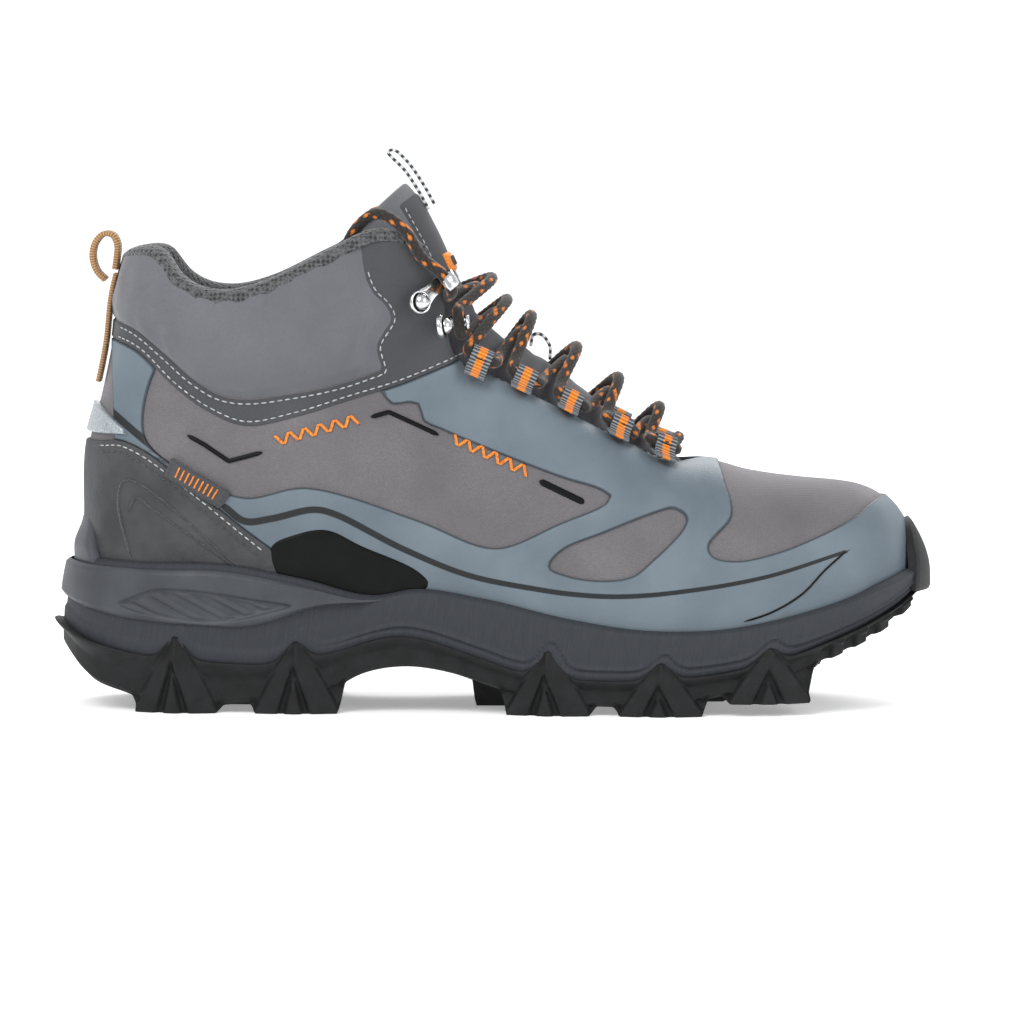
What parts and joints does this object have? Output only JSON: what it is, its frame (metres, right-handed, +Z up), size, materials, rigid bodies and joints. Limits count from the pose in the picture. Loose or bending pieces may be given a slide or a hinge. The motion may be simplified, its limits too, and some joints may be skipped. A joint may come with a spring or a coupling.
{
  "type": "hiking boot",
  "caption": "Mid-cut hiking boot, right foot, laced: lugged rubber outsole, foam cup midsole, softshell upper with fused film, padded collar, tongue, webbing lace tabs, hooks and round laces",
  "frame": {"origin": "middle of the boot's footprint box, on the ground plane under the tread", "axes": "+X from heel to toe, +Y from the outer to the inner side of the foot, +Z up"},
  "size_m": [0.3052, 0.1091, 0.1935],
  "materials": {
    "rubber": "matte moulded rubber",
    "midsole_foam": "matte moulded foam with a fine streaked grain",
    "cradle": "satin moulded plastic",
    "shank_steel": "plain sheet steel",
    "fibreboard": "pressed fibre board",
    "lining_mesh": "flecked knitted mesh",
    "softshell": "fine woven softshell",
    "facing": "smooth coated fabric",
    "ankle_fabric": "smooth brushed fabric",
    "film": "satin fused film",
    "black_film": "satin fused film",
    "heel_leather": "fine grained synthetic leather",
    "foam": "open-cell padding foam",
    "reflective": "silver reflective film",
    "orange_webbing": "ribbed woven webbing",
    "grey_webbing": "ribbed woven webbing with a centre stripe",
    "hook_chrome": "polished plate",
    "lace_cord": "round braid with coloured flecks",
    "aglet_plastic": "clear-coated crimped sleeve"
  },
  "bodies": {
    "boot": {"outsole": "rubber", "midsole": "midsole_foam", "heel_cradle": "cradle", "toe_bumper": "rubber", "heel_ledge": "rubber", "shank": "shank_steel", "insole_board": "fibreboard", "footbed": "lining_mesh", "vamp": "softshell", "quarter_lateral": "softshell", "quarter_medial": "softshell", "facing_band_lateral": "facing", "facing_band_medial": "facing", "ankle_panel_lateral": "ankle_fabric", "ankle_panel_medial": "ankle_fabric", "film_overlay_lateral": "film", "film_overlay_medial": "film", "black_panel_lateral": "black_film", "black_panel_medial": "black_film", "heel_panel": "heel_leather", "side_label": "facing", "heel_stiffener": "fibreboard", "toe_puff": "fibreboard", "lining": "lining_mesh", "collar_foam_lateral": "foam", "collar_foam_medial": "foam", "heel_reflector": "reflective", "heel_strap": "orange_webbing", "collar_binding": "lining_mesh", "lace_tab_lateral_1": "grey_webbing", "lace_tab_lateral_2": "grey_webbing", "lace_tab_lateral_3": "grey_webbing", "lace_tab_lateral_4": "grey_webbing", "lace_tab_lateral_5": "grey_webbing", "lace_tab_medial_1": "grey_webbing", "lace_tab_medial_2": "grey_webbing", "lace_tab_medial_3": "grey_webbing", "lace_tab_medial_4": "grey_webbing", "lace_tab_medial_5": "grey_webbing", "hook_lateral_1": "hook_chrome", "hook_lateral_2": "hook_chrome", "hook_medial_1": "hook_chrome", "hook_medial_2": "hook_chrome", "rivet_lateral_1": "hook_chrome", "rivet_lateral_2": "hook_chrome", "rivet_medial_1": "hook_chrome", "rivet_medial_2": "hook_chrome", "lace_lateral": "lace_cord", "lace_medial": "lace_cord", "aglet_lateral": "aglet_plastic", "aglet_medial": "aglet_plastic"},
    "tongue": {"tongue_face": "ankle_fabric", "tongue_foam": "foam", "tongue_lining": "lining_mesh", "tongue_patch": "facing", "tongue_badge": "orange_webbing", "lace_keeper": "grey_webbing"},
    "tongue_pull": {"tongue_loop": "grey_webbing"},
    "heel_pull": {"heel_loop": "orange_webbing"}
  },
  "joints": [
    {"name": "tongue_tilt", "type": "hinge", "parent": "boot", "child": "tongue", "pos_m": [0.066, 0, 0.08], "axis": [0, -1, 0], "range_deg": [0, 5], "stiffness_Nm_per_rad": 2, "springref_deg": -2.86},
    {"name": "tongue_loop_swing", "type": "hinge", "parent": "tongue", "child": "tongue_pull", "pos_m": [-0.0215, 0, 0.173], "axis": [0, 1, 0], "range_deg": [0, 30], "stiffness_Nm_per_rad": 0.02, "springref_deg": -2.86},
    {"name": "heel_loop_swing", "type": "hinge", "parent": "boot", "child": "heel_pull", "pos_m": [-0.1335, 0, 0.148], "axis": [0, -1, 0], "range_deg": [0, 35], "stiffness_Nm_per_rad": 0.02, "springref_deg": -2.86}
  ]
}
